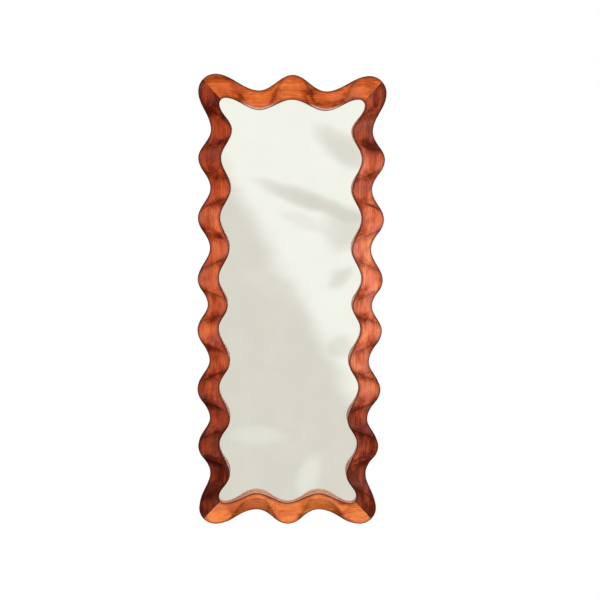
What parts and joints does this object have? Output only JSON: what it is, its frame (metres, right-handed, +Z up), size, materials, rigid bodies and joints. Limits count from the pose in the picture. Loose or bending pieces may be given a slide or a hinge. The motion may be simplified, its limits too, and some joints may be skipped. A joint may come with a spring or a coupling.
{
  "type": "wall mirror",
  "caption": "Full-length wall mirror in a carved, wavy wooden frame with mitred and braced corners, hung from the back by swinging D-rings.",
  "frame": {"origin": "in the wall plane, where the bumpers touch the wall, in the middle of the mirror's width and height", "axes": "+Z up, +X to the right as seen from the front, +Y into the wall; the glass looks along -Y"},
  "size_m": [0.7334, 0.053, 1.8],
  "materials": {
    "carved_wood": "satin reddish-brown stain",
    "dowel_wood": "raw",
    "silvered_glass": "polished, silvered behind",
    "film": "matt",
    "board": "raw fibreboard",
    "block_rubber": "matt",
    "foam_tape": "matt",
    "zinc_plate": "zinc plated",
    "zinc_screw": "yellow zinc plated",
    "nickel_strap": "nickel plated",
    "nickel_wire": "nickel plated",
    "bumper_rubber": "matt"
  },
  "bodies": {
    "mirror": {"left_stile": "carved_wood", "right_stile": "carved_wood", "top_rail": "carved_wood", "bottom_rail": "carved_wood", "dowels_top_left": "dowel_wood", "dowels_top_right": "dowel_wood", "dowels_bottom_left": "dowel_wood", "dowels_bottom_right": "dowel_wood", "mirror_pane": "silvered_glass", "safety_film": "film", "backing_board": "board", "setting_blocks": "block_rubber", "tape_left": "foam_tape", "tape_right": "foam_tape", "tape_top": "foam_tape", "tape_bottom": "foam_tape", "brace_top_left": "zinc_plate", "brace_top_right": "zinc_plate", "brace_bottom_left": "zinc_plate", "brace_bottom_right": "zinc_plate", "brace_screws": "zinc_screw", "retaining_clips": "zinc_plate", "clip_screws": "zinc_screw", "hanger_strap_left": "nickel_strap", "hanger_strap_right": "nickel_strap", "hanger_screws": "zinc_screw", "bumper_top_left": "bumper_rubber", "bumper_top_right": "bumper_rubber", "bumper_bottom_left": "bumper_rubber", "bumper_bottom_right": "bumper_rubber", "bumper_screws": "zinc_screw"},
    "ring_left": {"d_ring_left": "nickel_wire"},
    "ring_right": {"d_ring_right": "nickel_wire"}
  },
  "joints": [
    {"name": "ring_left_swing", "type": "hinge", "parent": "mirror", "child": "ring_left", "pos_m": [-0.323, -0.0041, 0.592], "axis": [-1, 0, 0], "range_deg": [0, 175]},
    {"name": "ring_right_swing", "type": "hinge", "parent": "mirror", "child": "ring_right", "pos_m": [0.323, -0.0041, 0.592], "axis": [-1, 0, 0], "range_deg": [0, 175]}
  ]
}
